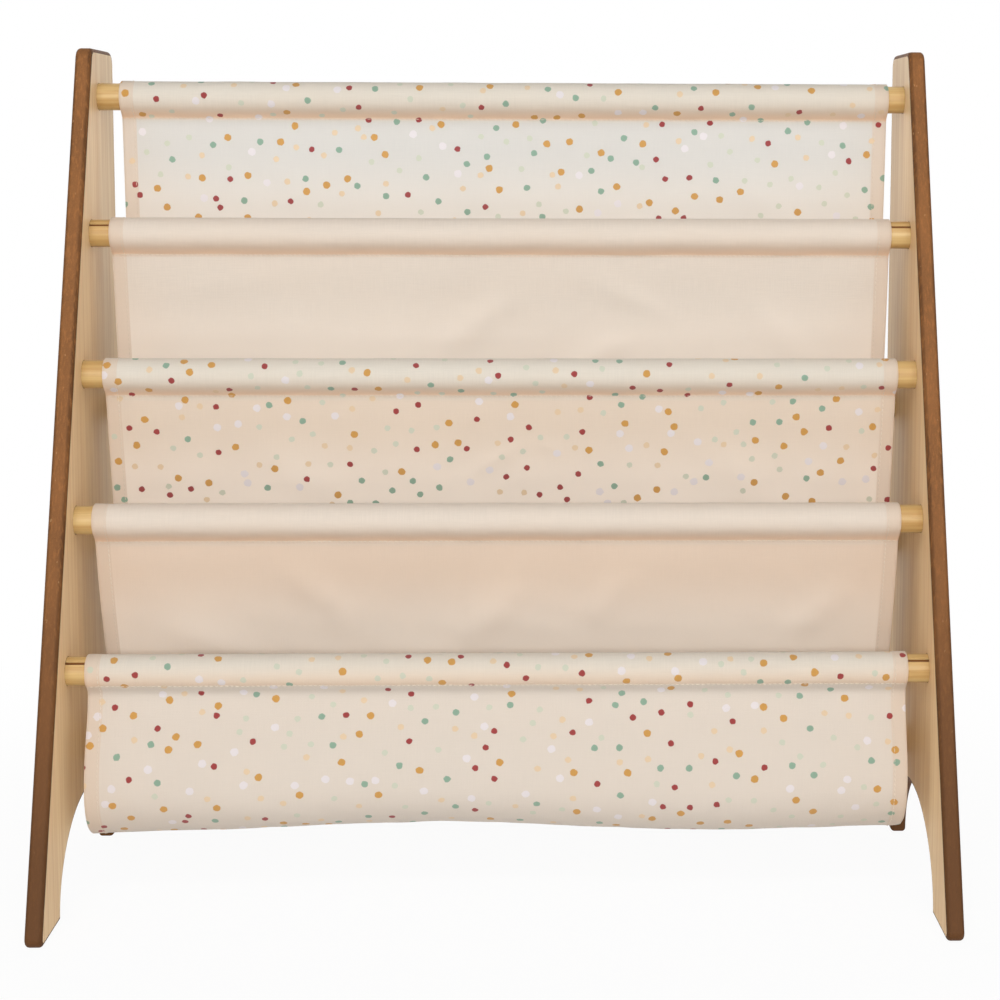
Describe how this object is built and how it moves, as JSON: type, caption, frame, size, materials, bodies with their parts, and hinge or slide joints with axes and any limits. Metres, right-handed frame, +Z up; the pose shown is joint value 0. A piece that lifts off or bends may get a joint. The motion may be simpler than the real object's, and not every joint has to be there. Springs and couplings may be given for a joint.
{
  "type": "sling bookshelf",
  "caption": "Low bookshelf for children: two leaning side panels joined by rods that carry cloth sling pockets for front-facing picture books.",
  "frame": {"origin": "on the floor, under the middle of the shelf's bounding box", "axes": "+X to the right as one faces the shelf, +Y to the back, +Z up"},
  "size_m": [0.625, 0.2874, 0.6],
  "materials": {
    "panel_board": "pale wood-grain faces with brown eased board edges, matt lacquer",
    "rod_wood": "smooth light softwood, clear matt lacquer",
    "screw_steel": "zinc-plated, satin",
    "cloth_dotted": "cream plain-weave canvas printed with small scattered coloured dots",
    "cloth_plain": "plain pink-beige plain-weave canvas"
  },
  "bodies": {
    "root": {"side_panel_left": "panel_board", "side_panel_right": "panel_board", "front_rod_1": "rod_wood", "front_rod_2": "rod_wood", "front_rod_3": "rod_wood", "front_rod_4": "rod_wood", "front_rod_5": "rod_wood", "pocket_rod_1": "rod_wood", "pocket_rod_2": "rod_wood", "pocket_rod_3": "rod_wood", "pocket_rod_4": "rod_wood", "front_screw_left_1": "screw_steel", "front_screw_right_1": "screw_steel", "front_screw_left_2": "screw_steel", "front_screw_right_2": "screw_steel", "front_screw_left_3": "screw_steel", "front_screw_right_3": "screw_steel", "front_screw_left_4": "screw_steel", "front_screw_right_4": "screw_steel", "front_screw_left_5": "screw_steel", "front_screw_right_5": "screw_steel", "pocket_screw_left_1": "screw_steel", "pocket_screw_right_1": "screw_steel", "pocket_screw_left_2": "screw_steel", "pocket_screw_right_2": "screw_steel", "pocket_screw_left_3": "screw_steel", "pocket_screw_right_3": "screw_steel", "pocket_screw_left_4": "screw_steel", "pocket_screw_right_4": "screw_steel", "sling_cloth_1_dotted": "cloth_dotted", "sling_cloth_2_plain": "cloth_plain", "sling_cloth_3_dotted": "cloth_dotted", "sling_cloth_4_plain": "cloth_plain", "sling_cloth_5_dotted": "cloth_dotted"}
  },
  "joints": []
}
